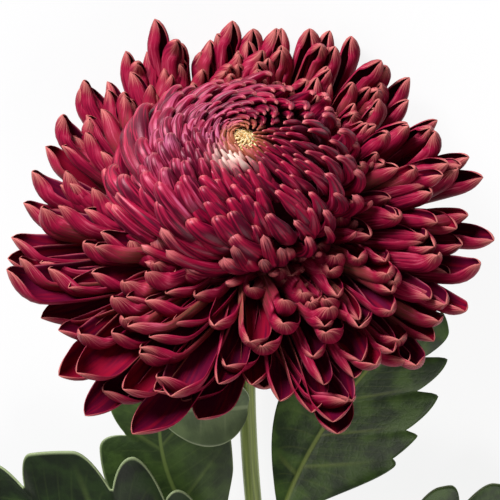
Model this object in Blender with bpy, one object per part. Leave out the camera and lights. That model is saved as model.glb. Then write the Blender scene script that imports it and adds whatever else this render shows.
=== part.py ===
"""A cut chrysanthemum lying on a table: one dark red bloom on a short leafy stem.

The bloom is a ball of incurved florets, which whirl in towards its pole, over a skirt of long
spreading florets. It lies on its back florets with its face tilted up, the neck bends down
behind it, and the stem lies along the table. Metres, +Z up, the table at Z = 0.
"""

import math
import random

import bmesh
import bpy
import numpy as np
from mathutils import Matrix, Vector

# How the bloom lies: its axis rises from the horizontal by the tilt, and its florets grow from this height
FACE_TILT = math.radians(36)
RECEPTACLE_HEIGHT = 0.0160
GOLDEN_TURN = math.radians(137.508)

# The ball of incurved florets, an oblate ellipsoid on the bloom's axis
BALL_RADIUS = 0.0312
BALL_HALF_HEIGHT = 0.0197
BALL_CENTRE = 0.0412
BALL_COUNT = 84
BALL_FIRST, BALL_LAST = 12, 98

# The skirt of spreading florets. Pairs hold a value for the outermost whorl and one for the florets
# next to the ball, and angles are in degrees above the horizontal
SKIRT_COUNT = 84
SKIRT_REACH = 0.0665
SKIRT_INNER_REACH = 0.0500
SKIRT_ROOT_RADIUS = 0.0080
SKIRT_ROOT_HEIGHT = 0.0040
SKIRT_HALF_WIDTH = 0.0062
SKIRT_INNER_HALF_WIDTH = 0.0042
SKIRT_CLIMB = (11, 42)
SKIRT_BACK_RISE, SKIRT_FRONT_FALL = (20, 17), (15, 17)
SKIRT_DROOP = (20, 10)
SKIRT_BACK_STIFFNESS = 12
SKIRT_SWEEP, SKIRT_FRONT_SWEEP, SKIRT_BACK_SWEEP = (34, 20), 4, 24
SKIRT_HOOK, SKIRT_FRONT_HOOK = (30, 55), 50

# The pocket in the heart's top, where the young florets stand
POCKET_RADIUS = 0.0046
POCKET_FLOOR = 0.0560
YOUNG_COUNT = 13

# The green receptacle under the florets
CALYX_DEPTH = 0.0090
CALYX_RADIUS = 0.0128
BRACT_COUNT = 14

# The stem: an arc down from the bloom, then straight along the table
STEM_RADIUS = 0.0027
STEM_STRAIGHT = 0.1250
STEM_SIDES = 12
NECK_STEPS = 9
STRAIGHT_STEPS = 6
CUT_SLANT = 0.7
STEM_SWAY, STEM_LEAN, STEM_SLANT = 0.90, 0.060, 0.2

# Thicknesses and clearances
BLADE = 0.0008
PETIOLE = 0.0020
SEAT_GAP = 0.0003
WELD = 0.000003

# The bract leaf, grown on the stem's upper side close under the bloom
BRACT_LEAF_BACK = 0.0545
BRACT_LEAF_LENGTH = 0.0310
BRACT_LEAF_HALF = 0.0110
BRACT_LEAF_HEADING = 174
BRACT_LEAF_RINGS = 10

# The leaves. back is the distance of a leaf's joint behind the bloom, angles are in degrees, and
# notches are (share of the blade's length, depth as a share of its half width) on its left and right.
# A low lean sharpens the lobes into teeth, a lean of 1 makes them even on both sides
LEAF_ROWS = 32
LOBE = 0.085
LEAVES = {
    "leaf_1": dict(
        back=0.1070, heading=84, bend=-46, side=1, petiole=0.011, length=0.086, widths=(0.0215, 0.0335),
        wedge=(0.55, 0.34), slant=(20, 58), rise=13, fall=-9, roll=0, curl=-0.0015, lean=0.42,
        notches=(((0.50, 0.25), (0.66, 0.30), (0.80, 0.40)), ((0.285, 0.10), (0.40, 0.17), (0.56, 0.25), (0.72, 0.32))),
    ),
    "leaf_2": dict(
        back=0.1100, heading=150, bend=-84, side=-1, petiole=0.010, length=0.074, widths=(0.0225, 0.0290),
        wedge=(0.25, 0.25), slant=(20, 58), rise=8, fall=-8, roll=0, curl=-0.0010, lean=0.90,
        notches=(((0.52, 0.42), (0.70, 0.40), (0.85, 0.40)), ((0.55, 0.30), (0.70, 0.35), (0.84, 0.40))),
    ),
    "leaf_3": dict(
        back=0.0970, heading=170, bend=6, side=-1, petiole=0.008, length=0.082, widths=(0.0270, 0.0285),
        wedge=(0.30, 0.42), slant=(5, 38), rise=34, fall=-24, roll=-6, curl=0.0030, lean=1.0,
        notches=(((0.30, 0.40), (0.50, 0.40), (0.75, 0.40)), ((0.25, 0.46), (0.415, 0.50), (0.72, 0.52))),
    ),
    "leaf_4": dict(
        back=0.1215, heading=32, bend=-26, side=1, petiole=0.019, length=0.072, widths=(0.0245, 0.0240),
        wedge=(0.40, 0.40), slant=(20, 50), rise=26, fall=-20, roll=0, curl=0.0016, lean=0.90,
        notches=(((0.36, 0.45), (0.56, 0.42), (0.78, 0.40)), ((0.30, 0.40), (0.50, 0.40), (0.75, 0.45))),
    ),
}


def clear_scene():
    for item in list(bpy.data.objects):
        bpy.data.objects.remove(item)


def srgb(hex_colour):
    """A linear colour from an sRGB hex value."""
    parts = [int(hex_colour[i : i + 2], 16) / 255 for i in (0, 2, 4)]
    linear = [p / 12.92 if p <= 0.04045 else ((p + 0.055) / 1.055) ** 2.4 for p in parts]
    return (*linear, 1.0)


def material(name, hex_colour, roughness):
    made = bpy.data.materials.new(name)
    made.use_nodes = True
    shader = made.node_tree.nodes["Principled BSDF"]
    shader.inputs["Base Color"].default_value = srgb(hex_colour)
    shader.inputs["Roughness"].default_value = roughness
    shader.inputs["Metallic"].default_value = 0.0
    made.diffuse_color = srgb(hex_colour)
    return made


def solid(name, points, faces, finish):
    """An object from points and faces, with its normals made to point outwards."""
    mesh = bpy.data.meshes.new(name)
    mesh.from_pydata([tuple(p) for p in points], [], faces)
    work = bmesh.new()
    work.from_mesh(mesh)
    bmesh.ops.recalc_face_normals(work, faces=work.faces)
    work.to_mesh(mesh)
    work.free()
    mesh.materials.append(finish)
    made = bpy.data.objects.new(name, mesh)
    bpy.context.scene.collection.objects.link(made)
    return made


def ring_faces(rings, around):
    """Quads between each ring and the next, for rings of the same number of points."""
    faces = []
    for ring in range(rings - 1):
        for i in range(around):
            a, b = ring * around + i, ring * around + (i + 1) % around
            faces.append((a, b, b + around, a + around))
    return faces


def pointed_body(name, rings, tip, finish):
    """A closed body through rings of points, flat at its root and pointed at its tip."""
    around = len(rings[0])
    points = [p for ring in rings for p in ring] + [tip]
    last = (len(rings) - 1) * around
    faces = ring_faces(len(rings), around)
    faces.append(tuple(range(around - 1, -1, -1)))
    faces += [(last + i, last + (i + 1) % around, len(points) - 1) for i in range(around)]
    return solid(name, points, faces, finish)


def capped_body(name, rings, finish):
    """A closed body through rings of points, flat at both ends."""
    around = len(rings[0])
    points = [p for ring in rings for p in ring]
    last = (len(rings) - 1) * around
    faces = ring_faces(len(rings), around)
    faces.append(tuple(range(around - 1, -1, -1)))
    faces.append(tuple(range(last, last + around)))
    return solid(name, points, faces, finish)


def turned_body(name, profile, sides, finish):
    """A closed body turned about the bloom's axis from (radius, height) points, the first and last on the axis."""
    rings = []
    for radius, height in profile[1:-1]:
        angles = [math.tau * i / sides for i in range(sides)]
        rings.append([(radius * math.cos(a), radius * math.sin(a), height) for a in angles])
    points = [p for ring in rings for p in ring]
    faces = ring_faces(len(rings), sides)
    bottom, top = len(points), len(points) + 1
    points += [(0, 0, profile[0][1]), (0, 0, profile[-1][1])]
    last = (len(rings) - 1) * sides
    faces += [(bottom, (i + 1) % sides, i) for i in range(sides)]
    faces += [(top, last + i, last + (i + 1) % sides) for i in range(sides)]
    return solid(name, points, faces, finish)


def join_into(body, others, name):
    """Unites body with all the others in one solid, which is left as the object called name."""
    group = bpy.data.collections.new(name + "_repeats")
    bpy.context.scene.collection.children.link(group)
    for other in others:
        bpy.context.scene.collection.objects.unlink(other)
        group.objects.link(other)
    union = body.modifiers.new("join", "BOOLEAN")
    union.operation = "UNION"
    union.operand_type = "COLLECTION"
    union.collection = group
    union.solver = "MANIFOLD"
    bpy.context.view_layer.update()
    graph = bpy.context.evaluated_depsgraph_get()
    joined = bpy.data.meshes.new_from_object(body.evaluated_get(graph))
    keep_outer_skin(joined)
    body.modifiers.clear()
    body.data = joined
    body.name = name
    for other in list(group.objects):
        bpy.data.objects.remove(other)
    bpy.data.collections.remove(group)
    return body


def keep_outer_skin(mesh):
    """Keeps the largest closed skin of a joined mesh: sealed hollows are filled and loose scraps dropped."""
    work = bmesh.new()
    work.from_mesh(mesh)
    bmesh.ops.triangulate(work, faces=work.faces)
    bmesh.ops.dissolve_degenerate(work, dist=WELD, edges=work.edges)
    bmesh.ops.triangulate(work, faces=work.faces)
    left = set(work.faces)
    skins = []
    while left:
        skin, edge_of_skin = set(), [left.pop()]
        while edge_of_skin:
            face = edge_of_skin.pop()
            skin.add(face)
            edges = [edge for edge in face.edges if len(edge.link_faces) == 2]
            near = {other for edge in edges for other in edge.link_faces}
            edge_of_skin += near & left
            left -= near
        skins.append(skin)
    outer = max(skins, key=len)
    bmesh.ops.delete(work, geom=[f for f in work.faces if f not in outer], context="FACES")
    work.to_mesh(mesh)
    work.free()


def mix(a, b, share):
    """a at share 0, b at share 1, and in a straight line between."""
    return a + (b - a) * share


def smooth(x):
    x = min(1.0, max(0.0, x))
    return x * x * (3 - 2 * x)


def polar(radius, turn, height):
    return Vector((radius * math.cos(turn), radius * math.sin(turn), height))


def bloom_frame():
    """The bloom's own frame: X to the right, Y towards its back florets, Z out of its face."""
    axis = Vector((0, math.cos(FACE_TILT), math.sin(FACE_TILT)))
    back = Vector((0, math.sin(FACE_TILT), -math.cos(FACE_TILT)))
    frame = Matrix((Vector((1, 0, 0)), back, axis)).transposed().to_4x4()
    frame.translation = Vector((0, 0, RECEPTACLE_HEIGHT))
    return frame


def lifted_off_table(rings, frame):
    """Bends a floret up where it would sink into the table.

    Each ring rises by the most that it, or any ring before it, needs.
    """
    up = frame.to_3x3().inverted() @ Vector((0, 0, 1))
    rise = 0.0
    lifted = []
    for ring in rings:
        lowest = min((frame @ p).z for p in ring)
        rise = max(rise, -lowest)
        lifted.append([p + up * rise for p in ring])
    return lifted


def skirt_line(rank, turn, shares):
    """Points on the centre line of a spreading floret, as (radius, height, angle above the horizontal).

    It leaves the receptacle steeply, droops, sweeps up again and hooks up at its tip. rank is 0 in
    the outermost whorl and 1 next to the ball. Florets at the back stand higher than those at the
    front, which hang and hook more sharply.
    """
    backness = math.sin(turn)
    rise = SKIRT_BACK_RISE if backness > 0 else SKIRT_FRONT_FALL
    climb = math.radians(mix(*SKIRT_CLIMB, rank) + mix(*rise, rank) * backness)
    droop = math.radians(mix(*SKIRT_DROOP, rank) - SKIRT_BACK_STIFFNESS * backness)
    end_sweep = SKIRT_BACK_SWEEP if backness > 0 else SKIRT_FRONT_SWEEP
    sweep = math.radians(mix(mix(*SKIRT_SWEEP, rank), end_sweep, abs(backness)))
    hook = math.radians(mix(*SKIRT_HOOK, rank) + SKIRT_FRONT_HOOK * max(0.0, -backness))
    length = mix(SKIRT_REACH, SKIRT_INNER_REACH, rank) * (1.04 - 0.06 * max(0.0, backness))
    steps = 60
    radius, height = SKIRT_ROOT_RADIUS, SKIRT_ROOT_HEIGHT + 0.006 * rank
    line = [(radius, height, climb + droop)]
    for i in range(steps):
        u = (i + 0.5) / steps
        angle = climb + droop * (1 - 2 * u) + sweep * smooth((u - 0.35) / 0.65) + hook * smooth((u - 0.78) / 0.22)
        radius += math.cos(angle) * length / steps
        height += math.sin(angle) * length / steps
        line.append((radius, height, angle))
    return [line[round(share * steps)] for share in shares]


def skirt_floret(name, rank, turn, draw, frame, finish):
    """A spreading floret: a long channelled blade with its keel below and a blunt tip that hooks up."""
    shares = (0.13, 0.45, 0.78, 0.95, 1.0)
    widths = (0.48, 0.90, 1.0, 0.74)
    half = mix(SKIRT_HALF_WIDTH, SKIRT_INNER_HALF_WIDTH, rank) * draw.uniform(0.92, 1.08)
    roll = math.radians(draw.uniform(-16, 16))
    line = skirt_line(rank, turn, shares)
    out = polar(1, turn, 0)
    rings = []
    for (radius, height, angle), width in zip(line, widths):
        spot = polar(radius, turn, height)
        along = out * math.cos(angle) + Vector((0, 0, math.sin(angle)))
        twist = Matrix.Rotation(roll, 3, along)
        across = twist @ Vector((-math.sin(turn), math.cos(turn), 0))
        keel = twist @ (out * math.sin(angle) - Vector((0, 0, math.cos(angle))))
        side = half * width
        margin = spot - keel * (side * 0.80 + BLADE / 2)
        inner = spot - keel * BLADE * 1.5
        rings.append([margin - across * side, spot, margin + across * side, inner])
    radius, height, _ = line[-1]
    tip = polar(radius, turn, height) + Vector((0, 0, half * 0.4))
    rings = lifted_off_table([*rings, [tip]], frame)
    return pointed_body(name, rings[:-1], rings[-1][0], finish)


def ball_floret(name, colatitude, turn, draw, finish):
    """An incurved floret: a finger with a ridged back that lies on the ball and whirls in towards the pole."""
    near_pole = 1 - smooth(colatitude / math.radians(95))
    half = mix(0.0042, 0.0018, near_pole)
    span = math.radians(mix(38, 28, near_pole))
    whirl = math.radians(mix(14, 62, near_pole**1.5))
    lift = draw.uniform(-0.0004, 0.0008)
    shares = (0.0, 0.45, 0.86, 1.0)
    widths = (0.8, 1.0, 0.78)
    path = []
    for share in shares:
        left = 1 - share
        angle = colatitude + span * left
        sunk = 1 - 0.16 * left**1.6
        radius = (BALL_RADIUS + lift) * math.sin(angle) * sunk
        height = BALL_CENTRE + (BALL_HALF_HEIGHT + lift) * math.cos(angle) * sunk
        path.append(polar(radius, turn + whirl * left, height))
    rings = []
    for i, width in enumerate(widths):
        spot = path[i]
        along = (path[i + 1] - spot).normalized()
        flat = 1 / BALL_RADIUS**2
        up = Vector((spot.x * flat, spot.y * flat, (spot.z - BALL_CENTRE) / BALL_HALF_HEIGHT**2))
        up = (up - along * up.dot(along)).normalized()
        across = along.cross(up)
        side = half * width
        base = spot - up * side * 1.1
        rings.append([base - across * side, spot + up * side * 0.45, base + across * side])
    tip = path[-1] - (path[-1] - Vector((0, 0, BALL_CENTRE))).normalized() * half * 0.5
    return pointed_body(name, rings, tip, finish)


def make_bloom(finish, frame):
    """All the red florets, grown into one hidden heart on the bloom's axis."""
    draw = random.Random(11)
    heart = [
        (0, 0.0015),
        (0.0100, 0.0015),
        (0.0130, 0.0050),
        (0.0180, 0.0130),
        (0.0232, 0.0240),
        (0.0260, 0.0340),
        (0.0255, 0.0420),
        (0.0204, 0.0502),
        (0.0126, 0.0554),
        (POCKET_RADIUS + 0.0008, 0.0580),
        (POCKET_RADIUS, POCKET_FLOOR),
        (0, POCKET_FLOOR),
    ]
    body = turned_body("heart", heart, 20, finish)
    florets = []
    for i in range(SKIRT_COUNT):
        rank = (i + draw.uniform(0, 1)) / SKIRT_COUNT
        turn = i * GOLDEN_TURN + math.radians(draw.uniform(-5, 5))
        florets.append(skirt_floret(f"skirt_{i}", rank, turn, draw, frame, finish))
    for i in range(BALL_COUNT):
        share = ((i + 0.5) / BALL_COUNT) ** 0.84
        colatitude = math.radians(mix(BALL_FIRST, BALL_LAST, share))
        florets.append(ball_floret(f"ball_{i}", colatitude, i * GOLDEN_TURN, draw, finish))
    return join_into(body, florets, "bloom")


def make_young_florets(finish):
    """The unopened yellow florets at the pole: small pegs on one cushion, seated in the bloom's pocket."""
    floor = POCKET_FLOOR + SEAT_GAP
    side = POCKET_RADIUS - SEAT_GAP - 0.0001
    cushion = [(0, floor), (side, floor), (side, floor + 0.0018), (side * 0.7, floor + 0.0036), (0, floor + 0.0042)]
    body = turned_body("cushion", cushion, 12, finish)
    pegs = []
    for i in range(YOUNG_COUNT):
        share = math.sqrt((i + 0.5) / YOUNG_COUNT)
        foot = polar(side * 0.78 * share, i * GOLDEN_TURN, floor + 0.0022)
        head = polar(side * 0.62 * share, i * GOLDEN_TURN, floor + 0.0056 - 0.0010 * share)
        rings = []
        for spot, half in ((foot, 0.00050), (foot.lerp(head, 0.7), 0.00062)):
            rings.append([spot + polar(half, math.tau * k / 4, 0) for k in range(4)])
        pegs.append(pointed_body(f"peg_{i}", rings, head, finish))
    return join_into(body, pegs, "young_florets")


def make_involucre(finish):
    """The green receptacle and its two rows of overlapping bracts, between the stem and the florets."""
    profile = [
        (0, -CALYX_DEPTH),
        (0.0036, -CALYX_DEPTH),
        (0.0050, -0.0066),
        (0.0092, -0.0034),
        (0.0120, -0.0006),
        (CALYX_RADIUS, 0.0012),
        (0, 0.0012),
    ]
    body = turned_body("receptacle", profile, 20, finish)
    scales = []
    rows = ((0.0046, -0.0073, 0.0108, -0.0036, 0.0), (0.0072, -0.0050, 0.0137, -0.0007, 0.5))
    for row, (root_radius, root_height, tip_radius, tip_height, shift) in enumerate(rows):
        for i in range(BRACT_COUNT):
            turn = math.tau * (i + shift) / BRACT_COUNT
            across = Vector((-math.sin(turn), math.cos(turn), 0))
            root = polar(root_radius, turn, root_height)
            tip = polar(tip_radius, turn, tip_height)
            out = across.cross(tip - root).normalized()
            rings = []
            for share, half in ((0.0, 0.0016), (0.55, 0.0021), (0.85, 0.0013)):
                spot = root.lerp(tip, share) + out * 0.0006 * share
                rings.append([spot - across * half, spot + out * 0.0006, spot + across * half, spot - out * 0.0009])
            scales.append(pointed_body(f"bract_{row}_{i}", rings, tip + out * 0.0007, finish))
    return join_into(body, scales, "involucre")


def stem_sway(back):
    """How far the stem lies to the right at a distance behind the bloom: a slow sideways bend."""
    past_neck = back - (CALYX_DEPTH + SEAT_GAP) * math.cos(FACE_TILT)
    return STEM_SWAY * past_neck**2 - STEM_LEAN * past_neck


def stem_line():
    """The stem's middle, as (point, slope) pairs: an arc down and back from the bloom, then level."""
    start = bloom_frame() @ Vector((0, 0, -CALYX_DEPTH - SEAT_GAP))
    drop = start.z - STEM_RADIUS * math.cos(math.pi / STEM_SIDES)
    bend = drop / (1 - math.cos(FACE_TILT))
    line = []
    for i in range(NECK_STEPS + 1):
        slope = FACE_TILT * (1 - i / NECK_STEPS)
        back = bend * (math.sin(FACE_TILT) - math.sin(slope))
        down = bend * (math.cos(slope) - math.cos(FACE_TILT))
        line.append((start + Vector((0, -back, -down)), slope))
    foot = line[-1][0]
    for i in range(1, STRAIGHT_STEPS + 1):
        line.append((foot + Vector((0, -STEM_STRAIGHT * i / STRAIGHT_STEPS, 0)), 0.0))
    for spot, _ in line:
        spot.x = stem_sway(-spot.y)
    return line


def make_stem(finish):
    """A firm round stem, cut off at a slant."""
    rings = []
    side = Vector((1, 0, 0))
    for spot, slope in stem_line():
        along = Vector((0, -math.cos(slope), -math.sin(slope)))
        top = side.cross(along)
        angles = [math.tau * (i + 0.5) / STEM_SIDES for i in range(STEM_SIDES)]
        rings.append([spot + (side * math.sin(a) + top * math.cos(a)) * STEM_RADIUS for a in angles])
    rings[-1] = [p + Vector((0, (p.z - STEM_RADIUS) * CUT_SLANT, 0)) for p in rings[-1]]
    return capped_body("stem", rings, finish)


def leaf_half_width(leaf, row, side):
    """Half the blade's width at a row, on its left (0) or right (1): a wedge, then a sine, less the notches.

    A notch cuts the width most at the row nearest its place, and less with the distance from there: over
    a short stretch towards the base and a longer one towards the tip.
    """
    share = row / LEAF_ROWS
    outline = math.sin(math.pi * (0.06 + 0.90 * share**0.85)) ** 0.8
    outline *= smooth((share + 0.08) / leaf["wedge"][side])
    dip = 0.0
    for place, cut in leaf["notches"][side]:
        past = share - round(place * LEAF_ROWS) / LEAF_ROWS
        reach = LOBE * (2 - leaf["lean"] if past > 0 else leaf["lean"])
        dip = max(dip, cut * max(0.0, 1 - abs(past) / reach) ** 2)
    return leaf["widths"][side] * outline * (1 - dip)


def leaf_rows(leaf):
    """Rows of a leaf from its joint on the stem to its tip, as (row, middle, along, across, up).

    Rows below 0 are the leaf's stalk. The midrib bends sideways, and climbs and then falls.
    """
    slant = abs(math.sin(math.radians(leaf["heading"]))) + STEM_SLANT
    clear = STEM_RADIUS + SEAT_GAP + slant * PETIOLE / 2
    foot = Vector((stem_sway(leaf["back"]) + leaf["side"] * clear, -leaf["back"], STEM_RADIUS))
    rows = []
    spot = foot
    stalk_rows = 4
    for row in range(-stalk_rows, LEAF_ROWS + 1):
        share = (row + stalk_rows) / (LEAF_ROWS + stalk_rows)
        heading = math.radians(leaf["heading"] + leaf["bend"] * share)
        climb = math.radians(mix(leaf["rise"], leaf["fall"], smooth(share * 1.1)))
        flat = Vector((math.cos(heading), math.sin(heading), 0))
        along = flat * math.cos(climb) + Vector((0, 0, math.sin(climb)))
        level = Vector((-math.sin(heading), math.cos(heading), 0))
        across = Matrix.Rotation(math.radians(leaf["roll"]) * share, 3, along) @ level
        rows.append((row, spot.copy(), along, across, along.cross(across)))
        spot = spot + along * (leaf["petiole"] / stalk_rows if row < 0 else leaf["length"] / LEAF_ROWS)
    return rows


def make_leaf(name, leaf, finish):
    """A lobed blade on its stalk: its upper and lower skins are split into triangles alike."""
    upper, lower = [], []
    for row, spot, along, across, up in leaf_rows(leaf):
        blade = smooth(row / 4)
        thick = mix(PETIOLE, BLADE, blade)
        slant = math.radians(mix(*leaf["slant"], smooth(row / LEAF_ROWS))) * blade
        for t in (-1, -0.5, 0, 0.5, 1):
            wide = leaf_half_width(leaf, max(row, 0), 0 if t > 0 else 1)
            reach = abs(t) * mix(PETIOLE / 2, wide, blade)
            point = spot + along * reach * math.sin(slant)
            point = point + across * math.copysign(reach * math.cos(slant), t)
            point = point + up * leaf["curl"] * t * t * blade
            rib = 0.0006 * blade * (1 - abs(t)) ** 3
            upper.append(point + up * thick / 2)
            lower.append(point - up * (thick / 2 + rib))
    points = [Vector((p.x, p.y, max(p.z, 0.0))) for p in upper + lower]
    wide, under = 5, len(upper)
    faces = []
    for a in range(0, under - wide, wide):
        for t in range(wide - 1):
            near, far = (a + t, a + t + 1), (a + t + wide, a + t + wide + 1)
            split = ((near[0], near[1], far[1]), (near[0], far[1], far[0]))
            if t >= 2:
                split = ((near[0], near[1], far[0]), (near[1], far[1], far[0]))
            for triangle in split:
                faces.append(triangle)
                faces.append(tuple(under + corner for corner in reversed(triangle)))
    loop = [a for a in range(0, under, wide)] + list(range(under - wide + 1, under))
    loop += list(range(under - wide - 1, 0, -wide)) + list(range(wide - 2, 0, -1))
    for a, b in zip(loop, loop[1:] + loop[:1]):
        faces += [(a, b, under + b), (a, under + b, under + a)]
    return solid(name, points, faces, finish)


def make_bract_leaf(finish):
    """The small pale leaf close under the bloom: a plain curled blade, its foot on the stem's upper side."""
    heading = math.radians(BRACT_LEAF_HEADING)
    flat = Vector((math.cos(heading), math.sin(heading), 0))
    level = Vector((-math.sin(heading), math.cos(heading), 0))
    spot = Vector((stem_sway(BRACT_LEAF_BACK), -BRACT_LEAF_BACK, 2 * STEM_RADIUS + SEAT_GAP + BLADE))
    rings = []
    for i in range(BRACT_LEAF_RINGS):
        share = i / BRACT_LEAF_RINGS
        climb = math.radians(mix(30, -6, smooth(share)))
        along = flat * math.cos(climb) + Vector((0, 0, math.sin(climb)))
        up = along.cross(level)
        half = BRACT_LEAF_HALF * math.sin(math.pi * (0.05 + 0.94 * share**0.8)) ** 0.8
        rise = up * half * 0.30
        rings.append([
            spot - level * half + rise + up * BLADE / 3,
            spot - up * BLADE / 2,
            spot + level * half + rise + up * BLADE / 3,
            spot + up * BLADE / 2,
        ])
        spot = spot + along * BRACT_LEAF_LENGTH / BRACT_LEAF_RINGS
    return pointed_body("bract_leaf", rings, spot, finish)


def set_on_origin(pieces):
    """Moves the whole flower so that the middle of its box's bottom is the origin."""
    bpy.context.view_layer.update()
    corners = np.array([piece.matrix_world @ v.co for piece in pieces for v in piece.data.vertices])
    low, high = corners.min(axis=0), corners.max(axis=0)
    root = bpy.data.objects.new("flower", None)
    bpy.context.scene.collection.objects.link(root)
    root.location = (-(low[0] + high[0]) / 2, -(low[1] + high[1]) / 2, -low[2])
    for piece in pieces:
        piece.parent = root


def main():
    clear_scene()
    frame = bloom_frame()
    red = material("floret_red", "7a1730", 0.5)
    yellow = material("young_floret_yellow", "c9a85c", 0.6)
    stem_green = material("stem_green", "64782c", 0.5)
    leaf_green = material("leaf_green", "33502c", 0.45)
    pale_green = material("bract_leaf_green", "6b7d5e", 0.55)
    head = [make_bloom(red, frame), make_young_florets(yellow), make_involucre(stem_green)]
    for piece in head:
        piece.matrix_world = frame
    greens = [make_leaf(name, leaf, leaf_green) for name, leaf in LEAVES.items()]
    set_on_origin([*head, make_stem(stem_green), *greens, make_bract_leaf(pale_green)])


main()
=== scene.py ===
"""A cut chrysanthemum on a pale table, seen from above: a ball of dark red incurved florets over a
skirt of long channelled ones, on a short leafy stem that lies along the table. Metres, +Z up."""

import math

import bpy
import numpy as np
from mathutils import Matrix, Vector


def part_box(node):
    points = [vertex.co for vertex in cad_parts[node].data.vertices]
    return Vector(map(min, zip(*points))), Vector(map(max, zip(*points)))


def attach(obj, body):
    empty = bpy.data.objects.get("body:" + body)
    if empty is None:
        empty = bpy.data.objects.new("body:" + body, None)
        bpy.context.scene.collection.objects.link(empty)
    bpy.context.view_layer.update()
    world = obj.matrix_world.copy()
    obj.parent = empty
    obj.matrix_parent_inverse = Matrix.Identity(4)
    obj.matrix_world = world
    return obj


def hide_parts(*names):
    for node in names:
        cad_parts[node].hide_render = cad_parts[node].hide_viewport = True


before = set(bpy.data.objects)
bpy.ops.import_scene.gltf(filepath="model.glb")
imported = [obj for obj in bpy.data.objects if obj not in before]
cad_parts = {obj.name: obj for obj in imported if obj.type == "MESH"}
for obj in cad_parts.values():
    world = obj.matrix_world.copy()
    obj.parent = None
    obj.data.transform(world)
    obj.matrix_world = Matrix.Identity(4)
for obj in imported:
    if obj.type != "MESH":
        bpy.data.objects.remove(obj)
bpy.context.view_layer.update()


# The skirt of spreading florets
# Long ray florets in whorls under the ball. Each is one soft petal, rolled up along its length into a
# channel with its keel below. It grows from the receptacle, the swollen end of the stem's bent neck,
# rises steeply, droops and hooks up at its tip.
FACE_TILT = math.radians(36)
RECEPTACLE_HEIGHT = 0.0160
CALYX_DEPTH = 0.0090
SEAT_GAP = 0.0003
TABLE_CLEARANCE = 0.0002
STEM_RADIUS = 0.0027
STEM_FLAT = STEM_RADIUS * math.cos(math.pi / 12)  # the solid stem has twelve flat sides
GOLDEN_TURN = math.radians(137.508)
SKIRT_COUNT = 260
TUFT_COUNT = 36
TUFT_RANKS = [0.80, 0.98, 0.88, 1.08]
TUFT_HALF_TURN = 0.75
SKIRT_REACHES = (0.0665, 0.0440)
SKIRT_ROOT_RADIUS = 0.0080
SKIRT_ROOT_HEIGHT = 0.0040
SKIRT_ROOT_RISE = 0.0060
SKIRT_WHIRL_AT = math.radians(168)
PETAL_HALF_WIDTHS = (0.0082, 0.0068)
PETAL_THICKNESS = 0.00045
PETAL_ROWS, PETAL_COLUMNS = 25, 13
RIB_HEIGHT = 0.00010
FLATTEST_FOLD, TIGHTEST_FOLD = 0.5, 2.70

# In degrees, each for the outermost and the innermost floret, as are the reaches and half widths above.
CLIMB, CLIMB_AT_BACK, CLIMB_AT_FRONT = (11, 42), (20, 17), (15, 17)
DROOP, SWEEP, HOOK, HOOK_AT_FRONT = (20, 10), (34, 20), (30, 12), (55, 77)
SKIRT_WHIRL, ROLL = (12, 44), (24, 42)

# The outermost florets' lengths, as shares at their turns in radians from the front, left to right.
FRONT_LENGTHS = np.array([
    (-2.85, 1.00), (-2.65, 0.90), (-2.45, 1.00), (-1.25, 1.00), (-1.02, 1.05), (-0.88, 1.13), (-0.72, 1.07),
    (-0.50, 1.01), (-0.31, 1.12), (-0.15, 1.13), (0.02, 0.72), (0.14, 0.96), (0.30, 0.98), (0.45, 0.99),
    (0.80, 1.00),
]).T

# How far each floret may differ from the rule, as the limits of an even draw.
OWN_LIMITS = {
    "climb": (-4, 4), "hook": (-22, 22), "length": (0.94, 1.04), "sway": (-9, 9), "roll": (-18, 18),
    "width": (0.85, 1.12), "fold": (-0.2, 0.25), "uneven": (-1, 1),
}

neck_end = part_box("stem")[1].y - STEM_FLAT * math.sin(FACE_TILT)
involucre_low, involucre_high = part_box("involucre")
RECEPTACLE = np.array([
    (involucre_low.x + involucre_high.x) / 2,
    neck_end + (CALYX_DEPTH + SEAT_GAP) * math.cos(FACE_TILT),
    RECEPTACLE_HEIGHT,
])
TO_RIGHT = np.array([1.0, 0.0, 0.0])
TO_BACK = np.array([0.0, math.sin(FACE_TILT), -math.cos(FACE_TILT)])
TO_FACE = np.array([0.0, math.cos(FACE_TILT), math.sin(FACE_TILT)])


def in_world(points):
    """The receptacle's place plus each of a point's three bloom coordinates times its axis."""
    return RECEPTACLE + points @ np.stack([TO_RIGHT, TO_BACK, TO_FACE])


def mix(a, b, share):
    """a at share 0, b at share 1, and in a straight line between."""
    return a + (b - a) * share


def smooth(x):
    """0 up to x = 0, 1 from x = 1, and the smooth step 3x^2 - 2x^3 between."""
    x = np.clip(x, 0.0, 1.0)
    return x * x * (3 - 2 * x)


def unit(vectors):
    """Each vector divided by its own length."""
    return vectors / np.maximum(np.linalg.norm(vectors, axis=-1, keepdims=True), 1e-12)


def about_axis(radius, turn, height):
    """Points at a height and a radius from the bloom's axis: the radius times the turn's cosine and sine."""
    return np.stack(np.broadcast_arrays(radius * np.cos(turn), radius * np.sin(turn), height), axis=-1)


def rows_about(line, *sides):
    """A row of points about each point of a line: the point plus each side's amounts times its way."""
    rows = line[..., None, :]
    for way, amount in sides:
        rows = rows + way[..., None, :] * amount[..., None]
    return rows


def rows_towards_tip():
    """Shares from 0 at a petal's root to 1 at its tip, closer together near the tip: 1 - (1 - s)^1.6."""
    return 1 - (1 - np.linspace(0, 1, PETAL_ROWS)) ** 1.6


def sides_of(turn):
    """A turn's shares to the back, front and right: its sine above 0, its sine below 0, and its cosine."""
    return np.maximum(0, np.sin(turn)), np.maximum(0, -np.sin(turn)), np.cos(turn)


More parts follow.
